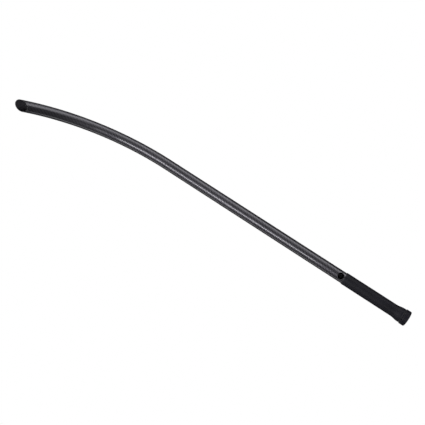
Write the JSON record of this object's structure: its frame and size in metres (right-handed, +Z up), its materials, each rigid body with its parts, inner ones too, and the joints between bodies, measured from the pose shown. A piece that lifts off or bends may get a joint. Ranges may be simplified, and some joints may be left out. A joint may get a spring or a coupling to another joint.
{
  "type": "bait throwing stick",
  "caption": "Curved hollow carbon tube with a slanted mouth, a vent hole and a flared rubber grip, for casting round baits by hand",
  "frame": {"origin": "centre of the butt face, on the axis of the straight shaft", "axes": "+X along the shaft towards the mouth, the bend curls towards +Y in the XY plane, +Z up with the stick lying on its side"},
  "size_m": [0.9301, 0.1694, 0.034],
  "materials": {
    "carbon_weave": "woven carbon fibre under clear gloss lacquer",
    "grip_rubber": "matt black rubber with a fine pebbled texture",
    "cap_rubber": "matt black moulded rubber",
    "collar_plastic": "matt black moulded plastic",
    "stop_foam": "dark closed-cell foam"
  },
  "bodies": {
    "root": {"carbon_tube": "carbon_weave", "grip_sleeve": "grip_rubber", "butt_cap": "cap_rubber", "butt_collar": "collar_plastic", "bait_stop": "stop_foam"}
  },
  "joints": []
}
